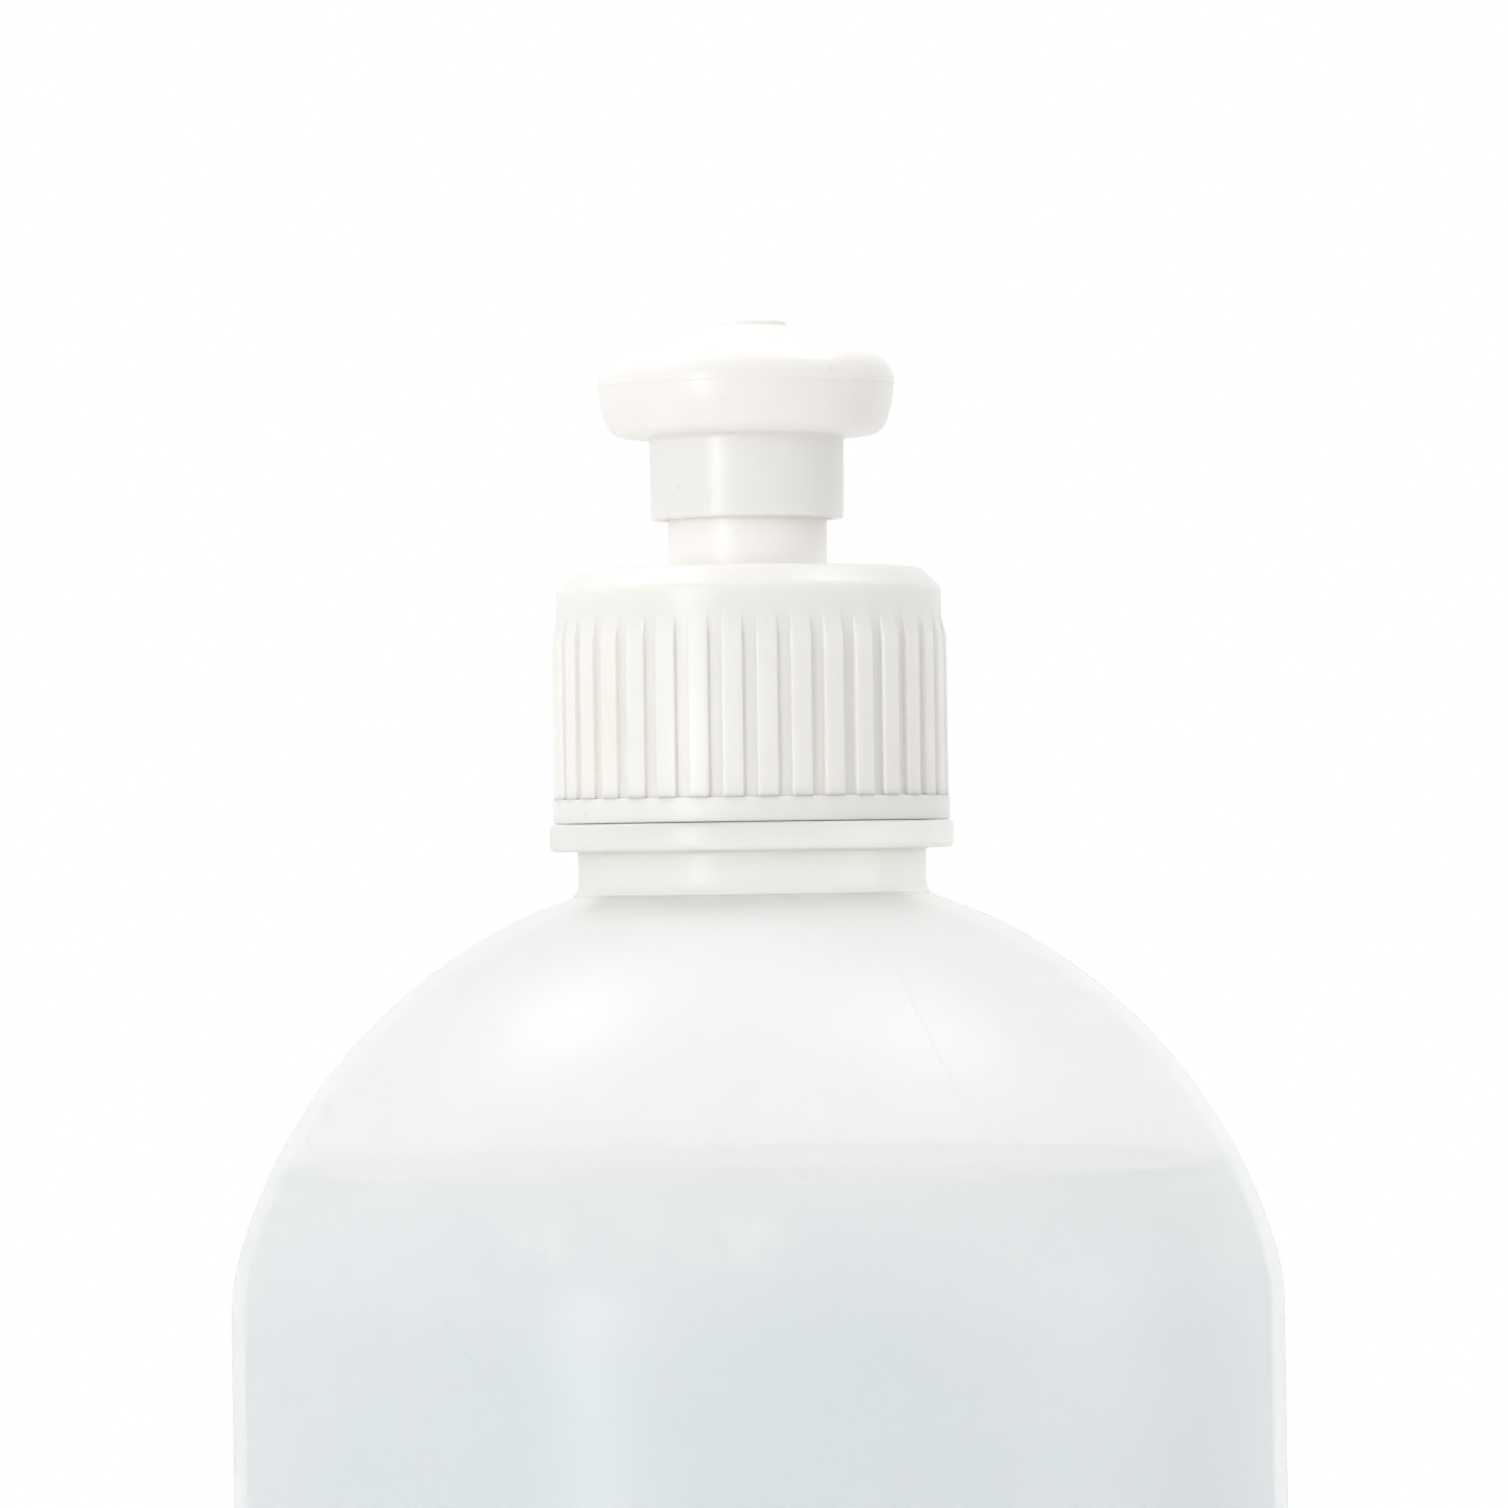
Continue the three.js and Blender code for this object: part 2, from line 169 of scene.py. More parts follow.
# %% Pick parts of a piece
def pick(piece, kind, test):
    """Goes to edit mode with just the faces, edges or points of a piece selected that pass the test."""
    bpy.ops.object.select_all(action="DESELECT")
    piece.select_set(True)
    bpy.context.view_layer.objects.active = piece
    bpy.ops.object.mode_set(mode="EDIT")
    bpy.ops.mesh.select_mode(type=kind)
    bpy.ops.mesh.select_all(action="DESELECT")
    bpy.ops.object.mode_set(mode="OBJECT")
    mesh = piece.data
    if kind == "FACE":
        for face in mesh.polygons:
            face.select = test(face.center / MM)
    elif kind == "EDGE":
        for edge in mesh.edges:
            edge.select = test(*(mesh.vertices[i].co / MM for i in edge.vertices))
    else:
        for vertex in mesh.vertices:
            vertex.select = test(vertex.co / MM)
    bpy.ops.object.mode_set(mode="EDIT")


# %% [markdown]
# The bottle is one blown shell, about 0.9 mm thick. Its dome is nearly a ball that meets the side
# through a tighter blend, and the neck has a carrying flange under the cap. The outside and the
# inside are drawn as one closed section, which gives the wall its real thickness, and a milky wall
# needs that to look right.

# %% Sizes of the bottle
WALL = 0.9
SIDE_HEIGHT = 118.75
BLEND_RADIUS = 16
DOME_RADIUS = 36.9
NECK_BASE = 147.65
NECK_RADIUS = 12.05
NECK_FILLET = 1.2
FLANGE_BOTTOM = 150.7
FLANGE_TOP = CAP_BOTTOM - 0.05
FLANGE_RADIUS = 14
FINISH_RADIUS = 10.9
BORE_RADIUS = 9.4
NECK_MOUTH = 10.4
PUSH_UP = 1.6
PUSH_UP_RADIUS = 22.5
RING_RADIUS = 27
HEEL = 5
BASE_STEPS = 8
BLEND_STEPS = 5
DOME_STEPS = 28
print("body", round(2 * BODY_RADIUS, 2), "mm across, flange top at", round(FLANGE_TOP, 2), "mm")

# %% [markdown]
# The blend and the dome have to run into each other without a kink. Two arcs do that when they touch
# on the line through both their centres. The triangle of these centres and the neck's foot gives
# the angle of that line.

# %% Where the blend becomes the dome
def dome_start():
    """Centre of the dome's arc, and the angle at which the blend hands over to it."""
    across = NECK_RADIUS - (BODY_RADIUS - BLEND_RADIUS)
    up = NECK_BASE - SIDE_HEIGHT
    gap = DOME_RADIUS - BLEND_RADIUS
    reach = math.hypot(across, up)
    share = (DOME_RADIUS ** 2 - reach ** 2 - gap ** 2) / (2 * gap * reach)
    angle = math.atan2(up, across) - math.acos(share)
    centre = (BODY_RADIUS - BLEND_RADIUS - gap * math.cos(angle), SIDE_HEIGHT - gap * math.sin(angle))
    return centre, math.degrees(angle)


DOME_CENTRE, DOME_ANGLE = dome_start()
print("dome centre", [round(v, 2) for v in DOME_CENTRE], "starts at", round(DOME_ANGLE, 1), "degrees")


# %% Section of the body
def body_section(inset, end_angle):
    """Base, heel, side and dome, this far inside the outer surface."""
    base = rounded([
        (0, PUSH_UP + inset),
        (PUSH_UP_RADIUS, PUSH_UP + inset, HEEL),
        (RING_RADIUS, inset, HEEL / 3),
        (BODY_RADIUS - inset, inset, HEEL - inset),
        (BODY_RADIUS - inset, SIDE_HEIGHT / 2),
    ], BASE_STEPS)
    blend = arc((BODY_RADIUS - BLEND_RADIUS, SIDE_HEIGHT), BLEND_RADIUS - inset, 0, DOME_ANGLE,
                BLEND_STEPS)
    dome = arc(DOME_CENTRE, DOME_RADIUS - inset, DOME_ANGLE, end_angle, DOME_STEPS)
    return base + blend + dome[1:]


def dome_angle_at(radius, inset):
    """Angle in degrees at which the dome's surface reaches a radius."""
    return math.degrees(math.acos((radius - DOME_CENTRE[0]) / (DOME_RADIUS - inset)))


# %% [markdown]
# The neck's outline climbs over the flange to the rim and comes down again inside the bore. The last
# point below only shows the direction in which the inside leaves the neck, and is left out.

# %% Bottle shell
BOTTLE_STEPS = 192
DOME_END = NECK_RADIUS + NECK_FILLET + 0.4
INNER_DOME_START = NECK_MOUTH + 1
TOWARDS_DOME = (NECK_MOUTH + 2, NECK_BASE - 1.5)
outside = body_section(0, dome_angle_at(DOME_END, 0))
neck = rounded([
    outside[-1],
    (NECK_RADIUS, NECK_BASE, NECK_FILLET),
    (NECK_RADIUS, FLANGE_BOTTOM, 0.25),
    (FLANGE_RADIUS, FLANGE_BOTTOM, 0.45),
    (FLANGE_RADIUS, FLANGE_TOP, 0.35),
    (FINISH_RADIUS, FLANGE_TOP, 0.3),
    (FINISH_RADIUS, RIM, 0.5),
    (BORE_RADIUS, RIM, 0.2),
    (BORE_RADIUS, FLANGE_BOTTOM, 1),
    (NECK_MOUTH, NECK_BASE, 0.8),
    TOWARDS_DOME,
])[:-1]
inside = body_section(WALL, dome_angle_at(INNER_DOME_START, WALL))[::-1]
bottle = spun("bottle_shell", outside + neck[1:] + inside, BOTTLE_STEPS)

# %% [markdown]
# A blown bottle carries the line where the halves of its mould met: up both sides, over the dome,
# and across the base, where the mould pinched the tube shut. It could be painted on, but a real
# ridge catches light. The spin left edges right under that line, so they are bevelled into a narrow
# strip, and the strip's middle is pushed out by a hair.

# %% Mould line
SEAM_WIDTH = 0.45
SEAM_CORE = 3
SEAM_MARGIN = 1
SLACK = 0.01


def on_seam(point):
    """True on the outer skin, in the plane where the mould halves met."""
    if abs(point.y) > SLACK or abs(point.x) < SEAM_CORE or point.z > NECK_BASE - SEAM_MARGIN:
        return False
    if point.z < HEEL / 2:
        return abs(point.x) < PUSH_UP_RADIUS - SEAM_MARGIN and point.z < PUSH_UP + WALL / 2
    if point.z < SIDE_HEIGHT:
        return abs(point.x) > BODY_RADIUS - WALL / 2
    across = max(abs(point.x) - DOME_CENTRE[0], 0)
    blend_across = abs(point.x) - (BODY_RADIUS - BLEND_RADIUS)
    dome_reach = math.hypot(across, point.z - DOME_CENTRE[1])
    blend_reach = math.hypot(max(blend_across, 0), point.z - SIDE_HEIGHT)
    return dome_reach > DOME_RADIUS - WALL / 2 or blend_reach > BLEND_RADIUS - WALL / 2


pick(bottle, "EDGE", lambda a, b: on_seam(a) and on_seam(b))
bpy.ops.mesh.bevel(offset=SEAM_WIDTH / 2 * MM, segments=2, affect="EDGES")
bpy.ops.object.mode_set(mode="OBJECT")
pick(bottle, "VERT", on_seam)
bpy.ops.transform.shrink_fatten(value=SEAM_HEIGHT * MM)
bpy.ops.object.mode_set(mode="OBJECT")
seam_reach = max(v.co.x for v in bottle.data.vertices) / MM
print("mould line reaches", round(seam_reach, 3), "mm from the axis")

# %% [markdown]
# A screw thread is one small section carried round and up at once. The Screw modifier does just
# that. The section is a plane, made narrower at its crest, and its face is deleted so that only the
# outline is swept. The ends are closed, and then drawn down into the wall, as a mould leaves them:
# the crest points at each of the last few steps are picked by their place and scaled towards the
# wall.

# %% Ends of a thread
THREAD_PITCH = 3.175
THREAD_STEPS = 72
RUN_OUT = 5
RING_REACH = 0.7
SAME_DIRECTION = 0.9999


def pick_crest(ridge, crest, turn, height):
    """Goes to edit mode with the crest points selected that the sweep left at this turn."""
    angle = 2 * math.pi * turn
    at = Vector((crest * math.cos(angle), crest * math.sin(angle), height))
    pick(ridge, "VERT", lambda p: (p - at).length < RING_REACH and abs(p.xy.length - crest) < SLACK
         and p.xy.normalized().dot(at.xy.normalized()) > SAME_DIRECTION)


def run_out(ridge, low, crest, turns, start):
    """Brings the crest down towards the wall over the last few steps at both ends."""
    for ring in range(RUN_OUT):
        reach = low + (crest - low) * ring / RUN_OUT
        share = reach / crest
        for turn in (ring / THREAD_STEPS, turns - ring / THREAD_STEPS):
            pick_crest(ridge, crest, turn, start + THREAD_PITCH * turn)
            bpy.ops.transform.resize(value=(share, share, 1), center_override=(0, 0, 0))
            bpy.ops.object.mode_set(mode="OBJECT")


# %% Sweep a thread
THREAD_SINK = 0.3


def thread_ridge(name, root, crest, widths, turns, start):
    """A ridge of trapezium section from root radius to crest radius, from a start height up."""
    outward = math.copysign(1, crest - root)
    foot = root - outward * THREAD_SINK
    bpy.ops.object.select_all(action="DESELECT")
    bpy.ops.mesh.primitive_plane_add(size=MM, location=(0, 0, 0))
    ridge = bpy.context.object
    ridge.name = name
    ridge.data.name = name
    bpy.ops.object.mode_set(mode="EDIT")
    bpy.ops.mesh.select_all(action="SELECT")
    bpy.ops.transform.rotate(value=math.pi / 2, orient_axis="X", center_override=(0, 0, 0))
    bpy.ops.transform.resize(value=(abs(crest - foot), 1, widths[0]), center_override=(0, 0, 0))
    bpy.ops.transform.translate(value=((crest + foot) / 2 * MM, 0, start * MM))
    bpy.ops.object.mode_set(mode="OBJECT")
    pick(ridge, "VERT", lambda p: abs(p.x - crest) < SLACK)
    narrow = widths[1] / widths[0]
    bpy.ops.transform.resize(value=(1, 1, narrow), center_override=(0, 0, start * MM))
    bpy.ops.mesh.select_all(action="SELECT")
    bpy.ops.mesh.delete(type="ONLY_FACE")
    bpy.ops.object.mode_set(mode="OBJECT")
    sweep = ridge.modifiers.new("sweep", "SCREW")
    sweep.axis = "Z"
    sweep.angle = 2 * math.pi * turns
    sweep.screw_offset = THREAD_PITCH * turns * MM
    sweep.steps = sweep.render_steps = round(THREAD_STEPS * turns)
    bpy.ops.object.modifier_apply(modifier="sweep")
    bpy.ops.object.mode_set(mode="EDIT")
    bpy.ops.mesh.select_all(action="SELECT")
    bpy.ops.mesh.fill_holes(sides=4)
    bpy.ops.mesh.select_all(action="SELECT")
    bpy.ops.mesh.normals_make_consistent(inside=False)
    bpy.ops.object.mode_set(mode="OBJECT")
    run_out(ridge, root - outward * THREAD_SINK / 2, crest, turns, start)
    print(name, "faces:", len(ridge.data.polygons))
    return ridge


# %% [markdown]
# The thread on the neck starts well above the flange and ends just under the rim, so the cap's
# thread can find its way in. Its root is the outside of the neck.

# %% Thread on the neck
NECK_TURNS = 1.5
BELOW_RIM = 1.7
NECK_CREST = FINISH_RADIUS + 1
NECK_THREAD_WIDTHS = (1.9, 0.9)
neck_start = RIM - BELOW_RIM - NECK_TURNS * THREAD_PITCH
neck_thread = thread_ridge(
    "neck_thread", FINISH_RADIUS, NECK_CREST, NECK_THREAD_WIDTHS, NECK_TURNS, neck_start)

# %% [markdown]
# The liquid fills the bottle to the lower dome. It touches the wall, and the skin of the wall pulls
# its edge up a little: the meniscus. It could be the bottle's inside filled at that level with a
# bisect, but its own section lets the level surface curve up at the edge.

# %% Liquid
LIQUID_GAP = 0.03
MENISCUS = 0.7
MENISCUS_WIDTH = 4 * MENISCUS
MENISCUS_STEPS = 6
level_inset = WALL + LIQUID_GAP
level_angle = math.degrees(math.asin((LIQUID_LEVEL - DOME_CENTRE[1]) / (DOME_RADIUS - level_inset)))
liquid_wall = body_section(level_inset, level_angle)
edge_radius = liquid_wall[-1][0]
surface = bend(
    (edge_radius, LIQUID_LEVEL),
    (edge_radius - MENISCUS, LIQUID_LEVEL - MENISCUS),
    (edge_radius - MENISCUS_WIDTH, LIQUID_LEVEL - MENISCUS),
    MENISCUS_STEPS,
)
liquid = spun("liquid_fill", liquid_wall + surface[1:] + [(0, LIQUID_LEVEL - MENISCUS)], BOTTLE_STEPS)
print("liquid surface radius", round(edge_radius, 2), "mm")

# %% [markdown]
# A disc of dense foam with a hole in it lies between the rim and the cap and seals the bottle. It is
# punched from a sheet, so its edges are crisp, with only a trace of a round. Two cylinders and a
# Boolean could make it, but a spun ring brings its small rounds along.

# %% Sealing washer
CAP_INNER = 12.3
WASHER_RADIUS = CAP_INNER - 0.25
WASHER_HOLE = 7.2
WASHER_EDGE = 0.08
WASHER_STEPS = 96
EDGE_STEPS = 2
washer_section = rounded([
    (WASHER_HOLE, WASHER_BOTTOM, WASHER_EDGE),
    (WASHER_RADIUS, WASHER_BOTTOM, WASHER_EDGE),
    (WASHER_RADIUS, WASHER_TOP, WASHER_EDGE),
    (WASHER_HOLE, WASHER_TOP, WASHER_EDGE),
], EDGE_STEPS)
washer = spun("foam_washer", washer_section + [washer_section[0]], WASHER_STEPS)

# %% [markdown]
# The cap is moulded in one piece: a skirt with grip ribs, a deck, and a post that stands up inside
# the spout. The plain form is spun first. The spin has ten columns for each of the 36 ribs, so the
# ribs can be picked by angle and pushed out of the wall, as a mould cutter would sink them.

# %% Sizes of the cap
CAP_RADIUS = 13.35
BAND_RADIUS = 13.75
BAND_TOP = CAP_BOTTOM + 1.65
BAND_SLOPE = 0.04
DECK_TOP = 170.15
DECK_UNDER = WASHER_TOP + 0.05
SHOULDER_DROP = 1.35
SHOULDER_WIDTH = 1.45
SHOULDER_ROUND = 0.9
POST_RADIUS = 5.5
POST_BORE = 4.4
LIP_RADIUS = 5.85
LIP_BOTTOM = SPOUT_BOTTOM + 1.05
LIP_TOP = LIP_BOTTOM + 0.8
POST_TAPER = 0.3
POST_TOP = LIP_TOP + POST_TAPER
RIB_COUNT = 36
RIB_COLUMNS = 10
RIB_RAMP = (165.2, 166.9)
print("cap", round(DECK_TOP - CAP_BOTTOM, 2), "mm high, post up to", round(POST_TOP, 2), "mm")

# %% Cap wall, deck and post
cap_section = rounded([
    (CAP_INNER, CAP_BOTTOM, 0.15),
    (BAND_RADIUS, CAP_BOTTOM, 0.15),
    (BAND_RADIUS, BAND_TOP, 0.05),
    (CAP_RADIUS, BAND_TOP + BAND_SLOPE, 0.08),
    (CAP_RADIUS, RIB_RAMP[0]),
    (CAP_RADIUS, RIB_RAMP[1]),
    (CAP_RADIUS, DECK_TOP - SHOULDER_DROP, SHOULDER_ROUND),
    (CAP_RADIUS - SHOULDER_WIDTH, DECK_TOP, SHOULDER_ROUND),
    (POST_RADIUS, DECK_TOP, 0.3),
    (POST_RADIUS, LIP_BOTTOM),
    (LIP_RADIUS, LIP_BOTTOM, 0.08),
    (LIP_RADIUS, LIP_TOP, 0.12),
    (POST_RADIUS - POST_TAPER, POST_TOP, 0.1),
    (POST_BORE, POST_TOP, 0.1),
    (POST_BORE, DECK_UNDER, 0.4),
    (CAP_INNER, DECK_UNDER, 0.3),
])
cap = spun("cap_wall", cap_section + [cap_section[0]], RIB_COUNT * RIB_COLUMNS)

# %% [markdown]
# The ribs grow out of the wall, run down into the band at the foot, and fade out below the rim of
# the deck. They could be bars pushed into the wall, but these would hide faces in it. Extruding
# the picked faces and scaling them about the axis raises the ribs. Scaling the top row back makes
# the ramp, and moving the bottom row down seats each rib on the band. A small bevel takes the
# sharpness off the long edges, so that they catch the light as moulded ones do.

# %% Faces and points of the ribs
RIB_HEIGHT = 0.36
RIB_HALF_ANGLE = 3
RIB_FOOT = BAND_TOP + 0.2
ABOVE_BAND = BAND_TOP + 0.1
WALL_SLACK = 0.05


def off_rib_middle(point):
    """Angle in degrees from a point to the middle of the nearest rib."""
    column = math.degrees(math.atan2(point.y, point.x)) % (360 / RIB_COUNT)
    return abs(column - 180 / RIB_COUNT)


def on_rib_wall(middle):
    """True for the wall faces that belong to a rib: six columns of every ten."""
    if middle.xy.length < CAP_RADIUS - WALL_SLACK or not RIB_FOOT < middle.z < RIB_RAMP[1]:
        return False
    return off_rib_middle(middle) < RIB_HALF_ANGLE


def raised(point):
    """True for points that stand out from the cap's wall, above the band."""
    return point.xy.length > CAP_RADIUS + RIB_HEIGHT / 2 and point.z > ABOVE_BAND


# %% Raise the ribs
growth = (CAP_RADIUS + RIB_HEIGHT) / CAP_RADIUS
pick(cap, "FACE", on_rib_wall)
print("wall faces that become ribs:", sum(face.select for face in cap.data.polygons))
bpy.ops.mesh.extrude_region_move()
bpy.ops.transform.resize(value=(growth, growth, 1), center_override=(0, 0, 0))
bpy.ops.object.mode_set(mode="OBJECT")

# %% Ramp at the top
TOP_ROW = RIB_RAMP[1] - 0.1
pick(cap, "VERT", lambda p: raised(p) and p.z > TOP_ROW)
print("points drawn back into the wall:", sum(point.select for point in cap.data.vertices))
bpy.ops.transform.resize(value=(1 / growth, 1 / growth, 1), center_override=(0, 0, 0))
bpy.ops.mesh.select_all(action="SELECT")
bpy.ops.mesh.remove_doubles(threshold=WELD)
bpy.ops.object.mode_set(mode="OBJECT")


# %% Long edges and foot of the ribs
RIB_EDGE = 0.11
RIB_SEAT = 0.108
FOOT_ROW = BAND_TOP + 0.5
SHORTEST_LONG_EDGE = 1
OUTER_COLUMN = RIB_HALF_ANGLE - 0.1


def on_long_edge(a, b):
    """True for the upright edges at both sides of a rib."""
    if not (raised(a) or raised(b)) or abs(a.z - b.z) < SHORTEST_LONG_EDGE:
        return False
    return off_rib_middle(a) > OUTER_COLUMN and off_rib_middle(b) > OUTER_COLUMN


pick(cap, "EDGE", on_long_edge)
bpy.ops.mesh.bevel(offset=RIB_EDGE * MM, segments=3, affect="EDGES")
bpy.ops.object.mode_set(mode="OBJECT")
pick(cap, "VERT", lambda p: raised(p) and p.z < FOOT_ROW)
bpy.ops.transform.translate(value=(0, 0, -RIB_SEAT * MM))
bpy.ops.object.mode_set(mode="OBJECT")
print("cap wall after the ribs, faces:", len(cap.data.polygons))

# %% [markdown]
# The cap's own thread hangs on the skirt and runs just under the thread on the neck, with some play
# between their flanks. It comes from the same sweep, with its crest towards the axis.

# %% Thread in the cap
CAP_CREST = CAP_INNER - 0.95
CAP_THREAD_WIDTHS = (1.3, 0.6)
CAP_TURNS = 1
AXIAL_PLAY = 0.3
overlap = NECK_CREST - CAP_CREST
neck_width = NECK_THREAD_WIDTHS[1] + (NECK_THREAD_WIDTHS[0] - NECK_THREAD_WIDTHS[1]) * overlap
cap_start = neck_start - (neck_width + CAP_THREAD_WIDTHS[1]) / 2 - AXIAL_PLAY
cap_thread = thread_ridge(
    "cap_thread", CAP_INNER, CAP_CREST, CAP_THREAD_WIDTHS, CAP_TURNS, cap_start)

# %% [markdown]
# A pin stands in the middle of the post on three webs. When the spout is pushed down, the pin fills
# its hole and shuts it. The pin is spun. The webs could be extruded from its side, but its faces
# aren't as wide as a web. So one web starts as a cube, is drawn out to a bar, and is copied round
# the pin, and a Boolean union joins each copy to it.

# %% Stopper pin
PIN_ROOT = 2.2
PIN_TIP = 1.75
PIN_FOOT = 0.25
PIN_CONE = 0.3
PIN_STEPS = 48
WEB_COUNT = 3
WEB_WIDTH = 1
WEB_HEIGHT = 1.2
WEB_EDGE = 0.12
HEAD_DEPTH = 8.05
SPOUT_TRAVEL = 3.4
web_bottom = LIP_TOP - WEB_HEIGHT
head_under_shut = SPOUT_TOP - HEAD_DEPTH - SPOUT_TRAVEL
pin_section = rounded([
    (0, web_bottom - PIN_FOOT),
    (PIN_ROOT, web_bottom - PIN_FOOT, 0.2),
    (PIN_ROOT, POST_TOP),
    (PIN_TIP, max(head_under_shut, POST_TOP + PIN_CONE)),
    (PIN_TIP, PIN_TOP, 0.5),
    (0, PIN_TOP),
])
pin = spun("stopper_pin", pin_section, PIN_STEPS)

# %% One web
WEB_LENGTH = (POST_BORE + POST_RADIUS) / 2
bpy.ops.object.select_all(action="DESELECT")
bpy.ops.mesh.primitive_cube_add(size=MM, location=(0, 0, 0))
web = bpy.context.object
bpy.ops.object.mode_set(mode="EDIT")
bpy.ops.mesh.select_all(action="SELECT")
bpy.ops.transform.resize(value=(WEB_LENGTH, WEB_WIDTH, WEB_HEIGHT), center_override=(0, 0, 0))
web_middle = (WEB_LENGTH / 2 * MM, 0, (web_bottom + WEB_HEIGHT / 2) * MM)
bpy.ops.transform.translate(value=web_middle)
bpy.ops.mesh.bevel(offset=WEB_EDGE * MM, segments=2, affect="EDGES")
bpy.ops.object.mode_set(mode="OBJECT")
print("one web, faces:", len(web.data.polygons))


# %% Webs round the pin
QUARTER = 0.25


def join_web(turn):
    """Turns a copy of the web to its place and joins it to the pin."""
    bpy.ops.object.select_all(action="DESELECT")
    web.select_set(True)
    bpy.context.view_layer.objects.active = web
    bpy.ops.object.duplicate()
    turned = bpy.context.object
    bpy.ops.object.mode_set(mode="EDIT")
    bpy.ops.mesh.select_all(action="SELECT")
    bpy.ops.transform.rotate(value=turn, orient_axis="Z", center_override=(0, 0, 0))
    bpy.ops.object.mode_set(mode="OBJECT")
    union = pin.modifiers.new("web", "BOOLEAN")
    union.operation = "UNION"
    union.object = turned
    bpy.context.view_layer.objects.active = pin
    bpy.ops.object.modifier_apply(modifier="web")
    bpy.data.meshes.remove(turned.data)


for i in range(WEB_COUNT):
    join_web(2 * math.pi * (i / WEB_COUNT + QUARTER))
bpy.data.meshes.remove(web.data)
print("stopper pin with its webs, faces:", len(pin.data.polygons))

# %% [markdown]
# The spout is the sleeve that slides on the post, with a flared head to grip. Its outline is soft all
# over, so the head is drawn from bends and one arc, where a ball and a cylinder would meet in a
# crease. Half way up the head the two halves of its mould met, and left a fine step that shows as a
# line.

# %% Spout
HEAD_RADIUS = 10.33
CROWN_ROUND = 2.15
CROWN_ANGLE = 80
SLEEVE_RADIUS = 6.75
SLEEVE_BORE = 6.0
SLEEVE_DRAFT = 0.07
BORE_DEPTH = 7.17
BEAD_BORE = 5.65
BEAD_HEIGHT = 0.9
BEAD_CHAMFER = 0.3
TIP_RADIUS = 2.9
ORIFICE = 1.9
PARTING_STEP = 0.07
SPOUT_STEPS = 144
head_under = SPOUT_TOP - HEAD_DEPTH


def below_top(radius, depth):
    """A point of the head, given by how far it lies under the top."""
    return (radius, SPOUT_TOP - depth)


# %% Outline of the spout's head
LOWER_STEPS = 8
UPPER_STEPS = 10
flank_start = below_top(9.75, 7.05)
flank_end = below_top(HEAD_RADIUS - PARTING_STEP, 4.6)
under_edge = bend(below_top(8.4, 8.03), below_top(9.4, 7.97), flank_start, LOWER_STEPS)
flank = bend(flank_start, below_top(10.2, 6.0), flank_end, LOWER_STEPS)
crown = arc(below_top(HEAD_RADIUS - CROWN_ROUND, 4.4), CROWN_ROUND, 0, CROWN_ANGLE, UPPER_STEPS)
flare = bend(crown[-1], below_top(6.1, 1.8), below_top(TIP_RADIUS, 0.38), UPPER_STEPS)
head = under_edge + flank[1:] + [below_top(HEAD_RADIUS, 4.52)] + crown + flare[1:]
print("points on the head's outline:", len(head))

# %% Sleeve and bore
spout_outside = rounded([
    (BEAD_BORE + BEAD_CHAMFER, SPOUT_BOTTOM),
    (SLEEVE_RADIUS - SLEEVE_DRAFT, SPOUT_BOTTOM, 0.2),
    (SLEEVE_RADIUS, head_under, 0.35),
    head[0],
])
spout_inside = rounded([
    head[-1],
    (*below_top(TIP_RADIUS - 0.02, 0), 0.25),
    (*below_top(ORIFICE, 0), 0.15),
    below_top(ORIFICE, 2.2),
    below_top(2.6, 2.55),
    below_top(SLEEVE_BORE, BORE_DEPTH),
    (SLEEVE_BORE, SPOUT_BOTTOM + BEAD_HEIGHT),
    (BEAD_BORE, SPOUT_BOTTOM + BEAD_HEIGHT),
    (BEAD_BORE, SPOUT_BOTTOM + BEAD_CHAMFER),
    (BEAD_BORE + BEAD_CHAMFER, SPOUT_BOTTOM),
])
spout = spun("spout_sleeve", spout_outside + head[1:] + spout_inside[1:], SPOUT_STEPS)

# %% [markdown]
# Plastic is never one flat colour. A few node helpers keep the recipes short: one fills the sockets
# of a node, one makes a node, one mixes two colours, and one stretches a value from one range to
# another. All patterns read Object coordinates, so they sit in the plastic and keep their real size.

# %% Node helpers
def fill_inputs(tree, made, inputs):
    """Links each input that is given a socket, and sets each that is given a plain value."""
    for key, value in inputs.items():
        if isinstance(value, bpy.types.NodeSocket):
            tree.links.new(value, made.inputs[key])
        else:
            made.inputs[key].default_value = value


def node(tree, kind, inputs, output=0, **settings):
    """Adds a node, sets or links its inputs, and returns one of its outputs."""
    made = tree.nodes.new(kind)
    for name, value in settings.items():
        setattr(made, name, value)
    fill_inputs(tree, made, inputs)
    return made.outputs[output]


def object_place(tree):
    """The place on the piece, in metres."""
    return node(tree, "ShaderNodeTexCoord", {}, "Object")


# %% [markdown]
# Most patterns here are noise. Its values crowd round 0.5 and seldom come near 0 or 1, so a recipe
# stretches the middle of the range, and what lies beyond it is cut off.

# %% Patterns and mixes
NOISE_MIDDLE = (0.3, 0.7)


def noise(tree, place, size, detail=2):
    """Soft random values between 0 and 1 with spots of about this size, in millimetres."""
    return node(tree, "ShaderNodeTexNoise", {"Vector": place, "Scale": 1 / (size * MM), "Detail": detail})


def stretch(tree, value, low, high, to_low=0.0, to_high=1.0, interpolation_type="LINEAR"):
    """Carries a value from one range over to another, and stops at its ends."""
    sockets = {"Value": value, "From Min": low, "From Max": high, "To Min": to_low, "To Max": to_high}
    return node(tree, "ShaderNodeMapRange", sockets, interpolation_type=interpolation_type)


def mixed(tree, share, first, second):
    """The first colour where the share is 0, and the second where it is 1."""
    sockets = {0: share, 6: first, 7: second}
    return node(tree, "ShaderNodeMix", sockets, 2, data_type="RGBA")


